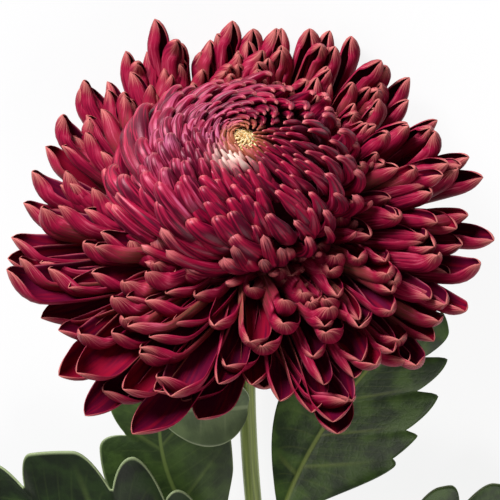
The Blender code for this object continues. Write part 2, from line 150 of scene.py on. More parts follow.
def skirt_lines(rank, turn, own, u):
    """Centre lines of spreading florets, with their turns: sums of steps at an angle to the horizontal.

    The angle is the climb, less a droop along the floret, plus a sweep of its outer part and a hook at its
    tip. The turn changes by a power of u: it whirls, most at the left, and parts at the front.
    """
    back, front, to_right = sides_of(turn)
    aside = (turn + 1.5 * math.pi) % math.tau - math.pi
    inmost = smooth((rank - 0.70) / 0.30) * front

    length = mix(*SKIRT_REACHES, rank) * own["length"] * (1.06 - mix(0.08, 0.26, rank) * back)
    length = length * (1 - 0.05 * np.maximum(0, -to_right) ** 6 - 0.035 * np.maximum(0, to_right) ** 6)
    length = length * mix(np.interp(aside, *FRONT_LENGTHS), 1.0, smooth(rank * 1.4)) - 0.014 * inmost

    half_u = (u[1:] + u[:-1]) / 2
    climb = mix(*CLIMB, rank) + mix(*CLIMB_AT_BACK, rank) * back - mix(*CLIMB_AT_FRONT, rank) * front
    climb = climb + 14 * inmost + own["climb"]
    droop = mix(*DROOP, rank) - 12 * (back - front)
    sweep = mix(mix(*SWEEP, rank), np.where(back > 0, 24, 4), back + front) + 0.6 * own["hook"]
    hook = mix(*HOOK, rank) + 34 * (1 - front) + mix(*HOOK_AT_FRONT, rank) * front**1.5 + own["hook"]
    hook_from = 0.84 - 0.08 * front
    angle = climb + droop * (1 - 2 * half_u) + sweep * smooth((half_u - 0.35) / 0.65)
    angle = np.radians(angle + hook * smooth((half_u - hook_from) / (1 - hook_from)))

    steps = length * np.diff(u)
    start = np.zeros_like(rank)
    radius = SKIRT_ROOT_RADIUS + np.hstack([start, np.cumsum(np.cos(angle) * steps, axis=1)])
    height = SKIRT_ROOT_HEIGHT + SKIRT_ROOT_RISE * rank
    height = height + np.hstack([start, np.cumsum(np.sin(angle) * steps, axis=1)])
    parting = 11 * (1 - 0.4 * rank) * np.tanh(aside / 0.05) * np.exp(-((aside / 0.45) ** 2))
    whirl = mix(*SKIRT_WHIRL, rank) * np.abs(np.cos((turn - SKIRT_WHIRL_AT) / 2)) ** 4
    sway = turn + np.radians(own["sway"] + parting - whirl) * u**1.6
    return about_axis(radius, sway, height), sway


def skirt_middle(rank, turn, own):
    """The middle sheet of each spreading floret, as an array of florets, rows, columns and coordinates.

    Across, each row is an arc about the centre line, less three low ribs. Its half angle is the fold, so the
    petal is a flat strap at 0 and a closed tube at pi. It narrows to its root, and rounds off at its tip.
    """
    u = rows_towards_tip()
    v = np.linspace(-1, 1, PETAL_COLUMNS)
    back, front, to_right = sides_of(turn)
    line, sway = skirt_lines(rank, turn, own, u)
    along = unit(np.gradient(line, axis=1))
    level = about_axis(1, sway + math.pi / 2, 0)
    across = unit(level - along * np.sum(level * along, axis=-1, keepdims=True))
    inward = np.cross(along, across)
    roll = np.radians(own["roll"] - mix(*ROLL, rank) * to_right + 14 * (back - front))[..., None]
    roll = roll * (0.35 + 0.65 * u[:, None])
    cosine, sine = np.cos(roll), np.sin(roll)
    across, inward = across * cosine + inward * sine, inward * cosine - across * sine

    half = mix(*PETAL_HALF_WIDTHS, rank) * own["width"]
    half = half * (1 + 0.22 * front + 0.12 * back)
    blunt_from = mix(0.77, 0.70, front) + mix(0.09, -0.21, rank) * back
    blunt = 1 - np.clip((u - blunt_from) / (1 - blunt_from), 0, 1) ** mix(2.9, 2.3, front)
    half = half * mix(0.30, 1.0, smooth(u / 0.60)) * np.sqrt(np.clip(blunt, 0.0009, 1))

    sideness = (1 - front) * (1 - rank) * (1 - 0.55 * np.maximum(0, -to_right))
    middle_fold = mix(1.55, 2.5 - 0.2 * front, rank**1.2) + 0.75 * sideness + 1.10 * back + own["fold"]
    tip_fold = mix(1.20, 2.5 - 0.4 * front, rank) + 0.95 * sideness + 1.5 * back + 0.5 * own["fold"]
    fold = mix(2.0, middle_fold, smooth(u / 0.45))
    fold = np.clip(mix(fold, tip_fold, smooth((u - 0.72) / 0.28)), FLATTEST_FOLD, TIGHTEST_FOLD)

    arc = fold[..., None] * v * (1 + 0.12 * own["uneven"][..., None] * np.sign(v))
    ribs = RIB_HEIGHT * np.cos(v * 3 * math.pi) * smooth((1 - u[:, None]) / 0.3) * smooth(u[:, None] / 0.3)
    circle = (half / fold)[..., None]
    sideways = (circle - ribs) * np.sin(arc)
    rise = circle - (circle - ribs) * np.cos(arc)
    return rows_about(line, (across, sideways), (inward, rise))


def lifted_off_table(points):
    """Points of florets, each row raised by the most that it, or any row before it, sinks into the table."""
    need = np.maximum(0, TABLE_CLEARANCE + PETAL_THICKNESS / 2 - points[..., 2].min(axis=2))
    points[..., 2] += np.maximum.accumulate(need, axis=1)[:, :, None]
    return points


def shells(middle, thickness):
    """Closed thin shells about sheets of points: points, faces and whether a face is on the front.

    The back sheet lies half the thickness behind the middle and the front sheet half before it. Quads
    join the two round the rim.
    """
    count, rows, columns = middle.shape[:3]
    normal = unit(np.cross(np.gradient(middle, axis=1), np.gradient(middle, axis=2)))
    offset = normal * np.asarray(thickness)[..., None] / 2
    points = np.concatenate([middle - offset, middle + offset], axis=1).reshape(count, -1, 3)
    index = np.arange(rows * columns).reshape(rows, columns)
    back = np.stack([index[:-1, :-1], index[:-1, 1:], index[1:, 1:], index[1:, :-1]], axis=-1).reshape(-1, 4)
    front = back[:, ::-1] + index.size
    rim = np.concatenate([index[:, 0], index[-1, 1:], index[-2::-1, -1], index[0, -2:0:-1]])
    after = np.roll(rim, -1)
    edge = np.stack([rim, after, after + index.size, rim + index.size], axis=-1)
    faces = np.concatenate([back, edge, front]) + np.arange(count)[:, None, None] * points.shape[1]
    is_front = np.repeat([0, 0, 1], [len(back), len(edge), len(front)])
    return points.reshape(-1, 3), faces.reshape(-1, 4), np.tile(is_front, count)


def add_piece(name, points, faces, finishes, slots=None):
    """A smooth mesh object with its place in its mesh. slots gives each face's material by its number."""
    mesh = bpy.data.meshes.new(name)
    mesh.from_pydata(points.tolist(), [], [face for group in faces for face in group.tolist()])
    mesh.shade_smooth()
    for finish in finishes:
        mesh.materials.append(finish)
    if slots is not None:
        mesh.polygons.foreach_set("material_index", slots.astype(np.int32))
    piece = bpy.data.objects.new(name, mesh)
    bpy.context.scene.collection.objects.link(piece)
    return piece


def stand_for(piece, node):
    """The piece rides the one rigid body in a node's place, and the node is hidden."""
    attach(piece, "root")
    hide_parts(node)


def note(piece, shape, **values):
    """Keeps numbers for each point of a piece by name, spread to a shape, for its material to read."""
    for name, value in values.items():
        attribute = piece.data.attributes.new(name, "FLOAT", "POINT")
        attribute.data.foreach_set("value", np.broadcast_to(value, shape).astype(np.float32).ravel())


def linear(hex_colour):
    """A linear colour from an sRGB hex value: v / 12.92 when dark, else ((v + 0.055) / 1.055)^2.4."""
    parts = [int(hex_colour[i : i + 2], 16) / 255 for i in (1, 3, 5)]
    return (*[p / 12.92 if p <= 0.04045 else ((p + 0.055) / 1.055) ** 2.4 for p in parts], 1.0)


def add(tree, kind, inputs=(), out=0, **settings):
    """Adds a node and returns one of its outputs.

    inputs holds a value for each socket, in order or by name or number: a plain one, another node's output,
    or the name of a number that the piece keeps.
    """
    made = tree.nodes.new("ShaderNode" + kind)
    for key, value in settings.items():
        setattr(made, key, value)
    for key, value in inputs.items() if isinstance(inputs, dict) else enumerate(inputs):
        if isinstance(value, str):
            value = add(tree, "Attribute", out="Fac", attribute_name=value)
        if isinstance(value, bpy.types.NodeSocket):
            tree.links.new(value, made.inputs[key])
        else:
            made.inputs[key].default_value = value
    return made.outputs[out]


# Settings that recur: a smooth step between a range's ends, a product, and a product plus a third value.
EASED = {"interpolation_type": "SMOOTHSTEP"}
TIMES = {"operation": "MULTIPLY"}
TIMES_PLUS = {"operation": "MULTIPLY_ADD"}


def new_finish(name, **values):
    """A material with one Principled shader, whose plain values are given by the names of its sockets."""
    finish = bpy.data.materials.new(name)
    finish.use_nodes = True
    for key, value in values.items():
        finish.node_tree.nodes["Principled BSDF"].inputs[key.replace("_", " ")].default_value = value
    return finish


def streaks(tree, scales, **settings):
    """A noise that is drawn out along a petal or the stem.

    It is read at the millimetres across and along and the piece's own seed, each times its scale.
    """
    place = add(tree, "CombineXYZ", ["across_mm", "along_mm", "seed"])
    grain = add(tree, "VectorMath", [place, scales], **TIMES)
    return add(tree, "TexNoise", {"Vector": grain, "Scale": 1.0, **settings})


def paint(finish, ground, layers, height=None, strength=0.0, depth=0.0003):
    """Colours a finish: a ground, layers that are each mixed over it by a share, and relief from a height."""
    tree = finish.node_tree
    shader = tree.nodes["Principled BSDF"]
    colour = linear(ground)
    for share, layer in layers:
        colour = add(tree, "Mix", {0: share, 6: colour, 7: linear(layer)}, 2, data_type="RGBA")
    tree.links.new(colour, shader.inputs["Base Color"])
    if height:
        relief = add(tree, "Bump", {"Height": height, "Strength": strength, "Distance": depth})
        tree.links.new(relief, shader.inputs["Normal"])
    return finish


def floret_back(
    name, deep, middle, pale, tip, base, sheen, pale_from, roughness, gloss, root_to=0.80, root_share=0.75,
    lip_pale=0.0, pole=None,
):
    """Ray floret, its outer side: a satin petal skin with long cells, so colour and gloss run in streaks.

    Real streaks are about 0.1 mm wide, too fine to show, so they are drawn 0.4 mm wide. Deep, middle and
    pale ones lie side by side. The pale ones thicken towards the margins and the tip, and in patches of
    3 mm. The root takes the base colour: greenish cream where it never saw light, and dark wine on the
    ball, so the fingers there darken towards their roots. On the ball, where pole is given, the florets
    by the pole take that colour. Some streaks at the upper left take a painted mauve sheen, one patch
    takes a painted cream highlight, and the pale tips are partly a painted highlight.
    """
    finish = new_finish(
        name, Roughness=roughness, Sheen_Weight=0.04, Sheen_Roughness=0.35, Sheen_Tint=linear(sheen),
        Specular_IOR_Level=gloss, Specular_Tint=linear("#FFB4C8"),
    )
    tree = finish.node_tree
    streak = streaks(tree, (2.4, 0.08, 90.0), Detail=3.0, Roughness=0.65)
    cloud = streaks(tree, (0.30, 0.10, 40.0), Detail=1.0)
    contrast = add(tree, "Math", [streak, 0.5], operation="SUBTRACT")
    side = add(tree, "Math", ["across"], operation="ABSOLUTE")
    lip = add(tree, "MapRange", ["along", 0.60, 0.90], **EASED)

    by_margin = add(tree, "MapRange", [side, 0.2, 1.0, 0.0, 0.12], **EASED)
    by_tip = add(tree, "MapRange", ["along", pale_from, 1.0, 0.0, 0.10], **EASED)
    paleness = add(tree, "Math", [by_margin, by_tip])
    paleness = add(tree, "Math", [paleness, add(tree, "Math", [cloud, 0.75, -0.375], **TIMES_PLUS)])
    paleness = add(tree, "Math", [lip, lip_pale, paleness], **TIMES_PLUS)
    strength = add(tree, "Math", [lip, -2.1, 3.8], **TIMES_PLUS)
    share = add(tree, "Math", [contrast, strength, paleness], **TIMES_PLUS)
    seed_share = add(tree, "MapRange", ["seed", 0.4, 0.9, 0.0, 0.28], **EASED)
    seen = add(tree, "Math", ["along", seed_share], operation="SUBTRACT")
    seen = add(tree, "Math", [streak, 0.55, seen], **TIMES_PLUS)
    layers = [
        (add(tree, "MapRange", [share, -0.25, 0.30], **EASED), middle),
        (add(tree, "MapRange", [share, 0.28, 0.95], **EASED), pale),
        (add(tree, "MapRange", [seen, root_to, root_to - 0.38, 0.0, root_share], **EASED), base),
    ]
    if pole:
        # A painted mauve sheen on some streaks at the upper left of the ball, where the light falls.
        lilac_streak = add(tree, "MapRange", [streak, 0.48, 0.60, 0.0, 0.50], **EASED)
        near = add(tree, "Math", [streak, 4.0, "from_pole_mm"], **TIMES_PLUS)
        outer_end = add(tree, "MapRange", ["along", 0.45, 0.85, 0.0, 0.75], **EASED)
        layers += [
            (add(tree, "Math", ["lilac", lilac_streak], **TIMES), "#A8688C"),
            (add(tree, "MapRange", [near, 9.0, 4.5, 0.0, 0.45], **EASED), pole),
            # A painted cream highlight, in one patch by the pole.
            (add(tree, "Math", ["pale_patch", outer_end], **TIMES), "#F2DACA"),
        ]
    tip_at = add(tree, "Math", [contrast, 0.22, "along"], **TIMES_PLUS)
    layers.append((add(tree, "MapRange", [tip_at, 0.91 if pole else 0.94, 1.03, 0.0, 0.5], **EASED), tip))
    return paint(finish, deep, layers, streak, add(tree, "Math", [lip, -0.20, 0.25], **TIMES_PLUS))


def floret_face(name, deep, backlit_red, margin, sheen):
    """Ray floret, its inner side: velvet of tiny cones, so dark that it only glows at a low angle. Its
    lighter red streaks, more on some florets, are painted light that shines through the thin petal.

    The cones of 0.02 mm are far too fine to show, so they are drawn as streaks of 1.2 mm.
    """
    finish = new_finish(
        name, Roughness=0.55, Sheen_Weight=0.02, Sheen_Roughness=0.3, Sheen_Tint=linear(sheen),
        Specular_IOR_Level=0.14, Specular_Tint=linear("#A868B8"),
    )
    tree = finish.node_tree
    streak = streaks(tree, (0.8, 0.06, 70.0), Detail=2.0)
    # Painted light shining through the petal: lighter red streaks, more on some florets.
    backlit_share = add(tree, "MapRange", ["seed", 0.55, 1.0, 0.0, 0.25], **EASED)
    painted_backlight = add(tree, "MapRange", [add(tree, "Math", [streak, backlit_share]), 0.45, 0.80], **EASED)
    side = add(tree, "Math", ["across"], operation="ABSOLUTE")
    edge = add(tree, "MapRange", [side, 0.93, 1.0, 0.0, 0.6], **EASED)
    return paint(finish, deep, [(painted_backlight, backlit_red), (edge, margin)], streak, 0.25)


# The skirt's outer sides are dark and almost matt, with salmon tips. Its inner sides are deep red velvet.
spreading_back = floret_back(
    "spreading_floret_back", deep="#4A021C", middle="#840E30", pale="#B65468", tip="#D2907E",
    base="#A88A5C", sheen="#D8A8B8", pale_from=0.50, roughness=0.48, gloss=0.11, root_to=0.98,
    root_share=0.20, lip_pale=0.10,
)
# Their lighter red streaks are painted light that shines through the petals.
spreading_face = floret_face("spreading_floret_face", "#4E0622", "#7A0A22", "#B05C64", "#9A6A9C")


def add_skirt(name, rank, turn, draw):
    """Spreading florets of given ranks and turns, each with its own small differences."""
    count = len(rank)
    own = {key: draw.uniform(*limits, (count, 1)) for key, limits in OWN_LIMITS.items()}
    middle = lifted_off_table(in_world(skirt_middle(rank[:, None], turn[:, None], own)))
    u = rows_towards_tip()[:, None]
    v = np.linspace(-1, 1, PETAL_COLUMNS)
    thickness = PETAL_THICKNESS * (1 - 0.55 * np.abs(v) ** 4) * mix(1.0, 0.7, u)
    points, faces, is_front = shells(middle, thickness)
    piece = add_piece(name, points, [faces], [spreading_back, spreading_face], is_front)
    note(
        piece, (count, 2, PETAL_ROWS, PETAL_COLUMNS), along=u, across=v, along_mm=u * SKIRT_REACHES[0] * 1000,
        across_mm=v * PETAL_HALF_WIDTHS[0] * 1000, seed=draw.uniform(0, 1, (count, 1, 1, 1)),
    )
    stand_for(piece, "bloom")


draw = np.random.default_rng(11)
for name, first in (("skirt_outer_whorls", 0), ("skirt_inner_whorls", SKIRT_COUNT // 2)):
    number = np.arange(first, first + SKIRT_COUNT // 2)
    rank = ((number + draw.uniform(0, 1, len(number))) / SKIRT_COUNT) ** 1.12
    turn = number * GOLDEN_TURN + np.radians(draw.uniform(-5, 5, len(number)))
    add_skirt(name, rank, turn, draw)
tuft_draw = np.random.default_rng(5)
tuft_turn = -math.pi / 2 + np.linspace(-TUFT_HALF_TURN, TUFT_HALF_TURN, TUFT_COUNT)
tuft_turn = tuft_turn + tuft_draw.uniform(-0.03, 0.03, TUFT_COUNT)
add_skirt("skirt_front_tuft", np.tile(TUFT_RANKS, TUFT_COUNT // len(TUFT_RANKS)), tuft_turn, tuft_draw)


# The ball of incurved florets
# Each is a petal rolled shut into a finger, with only its outer side showing. The fingers lie over
# each other like tiles and whirl in clockwise towards the pole, most strongly on the left. At the
# back right they stand up, and at the left and front they are broad and blunt.
POLE_HEIGHT = 0.0607
POLE_SHIFT = np.array([-0.0026, -0.0020, 0.0])
HEAD_WIDENING = 1.10
HEAD_FRONT = 0.93
BALL_RADIUS = 0.0285
BALL_HALF_HEIGHT = 0.0170
BALL_CENTRE = 0.0437
BALL_EDGE = math.radians(105)
NECK_END = (0.0085, 0.0055)
BALL_COUNT = 300
NEAREST_TIP, FURTHEST_TIP = 0.0028, 0.0440
WHIRL = math.radians(94)
WHIRL_STRONGEST_AT = math.radians(154)
STANDING_AT = math.radians(45)
BROAD_AT = math.radians(210)
# The turn where the painted mauve sheen is strongest.
PAINTED_SHEEN_AT = math.radians(145)
# Where the painted cream highlight by the pole lies: its turn, its distance from the pole and its spread.
HIGHLIGHT_PATCH_AT = math.radians(245)
HIGHLIGHT_PATCH_DISTANCE, HIGHLIGHT_PATCH_SPREAD = 0.0070, 0.0024
SHOULDER_COUNT = 60
SHOULDER_NEAREST, SHOULDER_FURTHEST = 0.036, 0.052
FINGER_ROWS, FINGER_SIDES = 20, 16
from_tip = np.linspace(0, 1, FINGER_ROWS) ** 1.3  # shares of a finger's length, closer near its tip

# Sizes at the pole, and what each metre from there along the surface adds: the room that one
# finger's tip takes, across and along, and the finger's own half width and length.
ROOM_ACROSS, ROOM_ALONG = (0.0009, 0.155), (0.0010, 0.42)
FINGER_HALF, FINGER_LENGTH = (0.00036, 0.077), (0.0038, 0.56)

# The surface that the fingers lie on: the ball's ellipse from the pole to its edge, then a straight
# line down to the receptacle, as radii and heights at distances along it from the pole.
ball_angle = np.linspace(0, BALL_EDGE, 300)
ball_curve = np.stack(
    [BALL_RADIUS * np.sin(ball_angle), BALL_CENTRE + BALL_HALF_HEIGHT * np.cos(ball_angle)], axis=-1
)
neck_curve = mix(ball_curve[-1], np.array(NECK_END), np.linspace(0, 1, 120)[1:, None])
head_curve = np.concatenate([ball_curve, neck_curve])
head_distance = np.hstack([0, np.cumsum(np.linalg.norm(np.diff(head_curve, axis=0), axis=1))])
head_slope = unit(np.gradient(head_curve, axis=0))
head_values = [*head_curve.T, -head_slope[:, 1], head_slope[:, 0]]


def leaned(points):
    """Bloom points, widened, flattened at the front, and moved by a shift that grows with the height squared.

    At the pole's height the shift is the pole's own, to the left and the front.
    """
    share = np.clip(points[..., 2:] / POLE_HEIGHT, 0, 1.1) ** 2
    wide = points * np.array([HEAD_WIDENING, 1.0, 1.0])
    wide[..., 1] *= np.where(wide[..., 1] < 0, HEAD_FRONT, 1.0)
    return wide + POLE_SHIFT * share


def on_head(distance, turn):
    """A point of the surface at a distance along it from the pole, with the unit normal there."""
    radius, height, outward, upward = (np.interp(distance, head_distance, values) for values in head_values)
    return about_axis(radius, turn, height), unit(about_axis(outward, turn, upward))


def finger_lines(tip_distance, turn, length):
    """Each finger's centre line from its tip outwards, at the whirl's angle to the way down from the pole.

    The angle is the whirl times the squared cosine of half the turn from where it is strongest, and
    differs a little from finger to finger.
    """
    own = np.radians(draw.uniform(-14, 14, len(turn)))
    distance = tip_distance
    spots, normals = [], []
    for step in np.diff(from_tip, prepend=0.0):
        angle = WHIRL * np.cos((turn - WHIRL_STRONGEST_AT) / 2) ** 2 + own
        radius = np.maximum(np.interp(distance, head_distance, head_curve[:, 0]), 0.0020)
        distance = distance + np.cos(angle) * length * step
        turn = turn + np.sin(angle) * length * step / radius
        spot, normal = on_head(distance, turn)
        spots.append(spot)
        normals.append(normal)
    return np.stack(spots, axis=1), np.stack(normals, axis=1)


def broadness(turn, tip_distance):
    """1 for the broadest fingers: a power of the cosine of the turn from there, less and less by the pole."""
    return np.maximum(0, np.cos(turn - BROAD_AT)) ** 0.6 * smooth((tip_distance - 0.006) / 0.012)


def tubes(rings, ends, flip=False):
    """Closed tubes from rings of points: quads from ring to ring, and a fan to the middle of each end.

    Rings that run the other way round need their faces flipped, so that these point outwards.
    """
    count, rows, sides = rings.shape[:3]
    points = np.concatenate([rings.reshape(count, -1, 3), ends], axis=1)
    index = np.arange(rows * sides).reshape(rows, sides)
    around = np.roll(index, -1, axis=1)
    quads = np.stack([index[:-1], index[1:], around[1:], around[:-1]], axis=-1).reshape(-1, 4)
    first = np.stack([index[0], around[0], np.full(sides, index.size)], axis=-1)
    last = np.stack([around[-1], index[-1], np.full(sides, index.size + 1)], axis=-1)
    shift = np.arange(count)[:, None, None] * points.shape[1]
    faces = [np.roll(group[:, ::-1], 1, axis=1) if flip else group for group in (quads, first, last)]
    return points.reshape(-1, 3), [(group + shift).reshape(-1, group.shape[1]) for group in faces]


def add_fingers(name, line, up, half, tip_distance, length, finish, node="bloom"):
    """Rolled florets along centre lines that run from the tip: closed tubes with five ridges.

    A tube is flatter below. Its half width grows from a round tip, and shrinks again to the root.
    """
    count = len(line)
    along = unit(np.gradient(line, axis=1))
    across = unit(np.cross(along, up))
    up = np.cross(across, along)
    tip_turn = np.arctan2(line[:, 0, 1], line[:, 0, 0])
    broad = broadness(tip_turn, tip_distance)[:, None]
    round_tip = np.sqrt(np.clip(1 - (1 - np.clip(from_tip / 0.045, 0, 1)) ** 2, 0.02, 1))
    side = mix(0.40 + 0.34 * broad, 1.06, smooth((from_tip - 0.02) / (0.42 - 0.16 * broad)))
    side = half[:, None] * side * round_tip * mix(1.0, 0.66, smooth((from_tip - 0.6) / 0.4))
    angle = np.linspace(0, math.tau, FINGER_SIDES, endpoint=False)
    ridge = 1 + 0.03 * np.cos(angle * 5)
    wide = np.sin(angle) * ridge
    tall = np.cos(angle) * ridge
    tall = np.where(tall > 0, tall * 0.90, tall * 0.60)
    rings = rows_about(line, (across, side[..., None] * wide), (up, side[..., None] * tall))
    ends = np.stack([line[:, 0] - along[:, 0] * half[:, None] * 0.15, line[:, -1]], axis=1)
    points, faces = tubes(rings, ends)
    piece = add_piece(name, in_world(leaned(points)), faces, [finish])

    u = np.concatenate([np.repeat(1 - from_tip, FINGER_SIDES), [1.0, 0.0]])
    v = np.concatenate([np.tile((angle + math.pi) % math.tau / math.pi - 1, FINGER_ROWS), [0.0, 0.0]])
    # The share of the painted mauve sheen: most at the upper left, and less away from the pole.
    lilac = np.maximum(0, np.cos(tip_turn - PAINTED_SHEEN_AT)) * smooth((0.034 - tip_distance) / 0.016)
    # The share of the painted cream highlight, in a patch in front of the pole and left of it.
    patch = np.exp(-(((tip_distance - HIGHLIGHT_PATCH_DISTANCE) / HIGHLIGHT_PATCH_SPREAD) ** 2))
    patch = patch * np.maximum(0, np.cos(tip_turn - HIGHLIGHT_PATCH_AT)) ** 6
    note(
        piece, (count, len(u)), along=u, across=v, along_mm=u * length[:, None] * 1000,
        across_mm=v * half[:, None] * 1.4 * 1000, seed=draw.uniform(0, 1, (count, 1)),
        from_pole_mm=tip_distance[:, None] * 1000, lilac=lilac[:, None], pale_patch=patch[:, None],
    )
    stand_for(piece, node)


def make_ball(name, finish):
    """All the fingers: tips on the golden-angle spiral, each at the distance where enough room is tallied.

    A finger dives under the surface by a power of its length, and least at the tip, which lifts or curls in.
    """
    place = np.linspace(NEAREST_TIP, FURTHEST_TIP, 400)
    room = (ROOM_ACROSS[0] + ROOM_ACROSS[1] * place) * (ROOM_ALONG[0] + ROOM_ALONG[1] * place)
    around = math.tau * np.interp(place, head_distance, head_curve[:, 0])
    tally = np.cumsum(around / room) * (place[1] - place[0])
    number = np.arange(BALL_COUNT)
    tip_distance = np.interp((number + 0.5) / BALL_COUNT, tally / tally[-1], place)
    tip_distance = tip_distance * draw.uniform(0.97, 1.03, BALL_COUNT)
    turn = number * GOLDEN_TURN + np.radians(draw.uniform(-4, 4, BALL_COUNT))
    standing = np.maximum(0, np.cos(turn - STANDING_AT)) ** 0.7
    broad = broadness(turn, tip_distance)
    half = (FINGER_HALF[0] + FINGER_HALF[1] * tip_distance) * draw.uniform(0.88, 1.12, BALL_COUNT)
    half = half * (1 + 0.04 * standing + 0.24 * broad)
    length = (FINGER_LENGTH[0] + FINGER_LENGTH[1] * tip_distance) * draw.uniform(0.9, 1.1, BALL_COUNT)
    length = length * (1 - 0.16 * broad)
    line, normal = finger_lines(tip_distance, turn, length)
    lift = half[:, None] * draw.uniform(0.2, 1.8, (BALL_COUNT, 1))
    curl = np.clip(1 - from_tip / 0.14, 0, 1) ** 2 * half[:, None] * 0.5
    depth = mix(0.42, 0.74, standing)[:, None] * length[:, None] * from_tip**1.15 + curl - lift
    add_fingers(name, line - normal * depth[..., None], normal, half, tip_distance, length, finish)


def make_shoulder(name, finish):
    """The longest fingers, between the ball and the skirt. They follow the whirl too.

    From the root to the tip they stand away from the surface by a power of the length.
    """
    number = np.arange(SHOULDER_COUNT)
    share = (number + draw.uniform(0, 1, SHOULDER_COUNT)) / SHOULDER_COUNT
    turn = number * GOLDEN_TURN + np.radians(draw.uniform(-8, 8, SHOULDER_COUNT))
    tip_distance = mix(SHOULDER_FURTHEST, SHOULDER_NEAREST, share) + 0.007 * np.minimum(0, np.sin(turn))
    length = mix(0.030, 0.040, share) * draw.uniform(0.93, 1.07, SHOULDER_COUNT)
    line, normal = finger_lines(tip_distance, turn, length)
    stand = mix(0.0090, 0.0030, share) * draw.uniform(0.8, 1.2, SHOULDER_COUNT)
    stand = stand * (1 + 0.6 * np.maximum(0, -np.cos(turn)))
    away = stand[:, None] * np.clip(1 - from_tip / 0.9, 0, 1) ** 1.3 + 0.0014 * (1 - from_tip)
    half = draw.uniform(0.0022, 0.0028, SHOULDER_COUNT)
    add_fingers(name, line + normal * away[..., None], normal, half, tip_distance, length, finish)


# The closed fingers are smoother than the skirt, so they shine more, and their streaks are rosier.
# Their pale tips are partly their own colour and partly a painted highlight.
incurved_back = floret_back(
    "incurved_floret_back", deep="#48021C", middle="#940C34", pale="#C25478", tip="#DA8A84",
    base="#5A0820", sheen="#E0B0D0", pale_from=0.8, roughness=0.35, gloss=0.32, pole="#B87848",
)
make_ball("ball_florets", incurved_back)
make_shoulder("shoulder_florets", incurved_back)


# The heart
# Behind the rolled florets are more of the same, packed so tightly that only dark gaps show: one
# turned body stands for them. Low down it is olive, like the florets' roots that hide it there.
HEART_SIDES = 48
HEART_PROFILE = np.array([
    (0, 0.0015), (0.0095, 0.0015), (0.0120, 0.0050), (0.0160, 0.0130), (0.0205, 0.0230), (0.0240, 0.0330),
    (0.0244, 0.0420), (0.0196, 0.0500), (0.0118, 0.0552), (0.0052, 0.0576), (0.0046, 0.0556), (0, 0.0556),
])


def turned(name, profile, sides, finish, in_head=True):
    """A surface turned about the bloom's axis: each (radius, height) point of the profile becomes a circle.

    A part of the head leans and widens with it.
    """
    profile = np.array(profile)
    angle = np.linspace(0, math.tau, sides, endpoint=False)
    rings = about_axis(profile[1:-1, :1], angle, profile[1:-1, 1:])
    ends = np.array([[0, 0, profile[0, 1]], [0, 0, profile[-1, 1]]])
    points, faces = tubes(rings[None], ends[None], flip=True)
    return add_piece(name, in_world(leaned(points) if in_head else points), faces, [finish])


# Matt and nearly black: a painted shade for the gaps, as light that enters them hardly returns. Its mottle
# is as wide as a rolled floret's root, 1.1 mm.
heart_finish = new_finish("packed_florets_painted_shade", Roughness=0.9, Specular_IOR_Level=0.1)
tree = heart_finish.node_tree
mottle_place = add(tree, "TexCoord", out="Object")
mottle = add(tree, "TexNoise", {"Vector": mottle_place, "Scale": 900.0, "Detail": 2.0})
collar = add(tree, "MapRange", ["height_mm", 12.0, 5.0])
paint(heart_finish, "#22040C", [(mottle, "#400818"), (collar, "#7C6A40")])
heart = turned("floret_heart", HEART_PROFILE, HEART_SIDES, heart_finish)
heart_heights = np.hstack([np.repeat(HEART_PROFILE[1:-1, 1], HEART_SIDES), HEART_PROFILE[[0, -1], 1]])
note(heart, heart_heights.shape, height_mm=heart_heights * 1000)
stand_for(heart, "bloom")


# The young florets
# At the pole stand the youngest ray florets, still short closed tubes of cream and yellow that have
# not coloured yet. They grow from the same disc as the rest, which swells to a little cushion.
YOUNG_COUNT = 90
YOUNG_FLOOR = 0.0563
YOUNG_SPREAD = 0.0046
YOUNG_LENGTHS = (0.0022, 0.0036)
YOUNG_HALF_WIDTHS = (0.00032, 0.00055)
YOUNG_CLIMBS = (75, 38)
YOUNG_SPLAY = 60.0  # how far a tube's upper side faces outwards, for each metre from the axis
CUSHION_SIDES = 40

# The same satin skin as on the other florets, before its red: cream, and greenish at the root.
young_finish = floret_back(
    "young_floret_skin", deep="#C89858", middle="#EAD8A8", pale="#F4EACC", tip="#F8F0DC",
    base="#A8A04C", sheen="#FFF4D8", pale_from=0.5, roughness=0.45, gloss=0.3,
)
number = np.arange(YOUNG_COUNT)
share = np.sqrt((number + 0.5) / YOUNG_COUNT)
turn = number * GOLDEN_TURN
young_length = mix(*YOUNG_LENGTHS, share) * draw.uniform(0.85, 1.15, YOUNG_COUNT)
lean_way = turn + math.pi - 0.9 + draw.uniform(-0.4, 0.4, YOUNG_COUNT)
climb = np.radians(mix(*YOUNG_CLIMBS, share) + draw.uniform(-8, 8, YOUNG_COUNT))
root_height = YOUNG_FLOOR + 0.0028 - 0.0024 * share**2
root = about_axis(YOUNG_SPREAD * share, turn, root_height)
way = about_axis(np.cos(climb), lean_way, np.sin(climb))
line = root[:, None] + way[:, None] * (young_length[:, None] * (1 - from_tip))[..., None]
line[..., 2] -= 0.10 * young_length[:, None] * (1 - from_tip) ** 2
up = np.array([0.0, 0.0, 1.0]) + root[:, None] * np.array([YOUNG_SPLAY, YOUNG_SPLAY, 0.0])
add_fingers(
    "young_floret_tubes", line, np.broadcast_to(up, line.shape), mix(*YOUNG_HALF_WIDTHS, share),
    np.zeros(YOUNG_COUNT), young_length, young_finish, "young_florets",
)

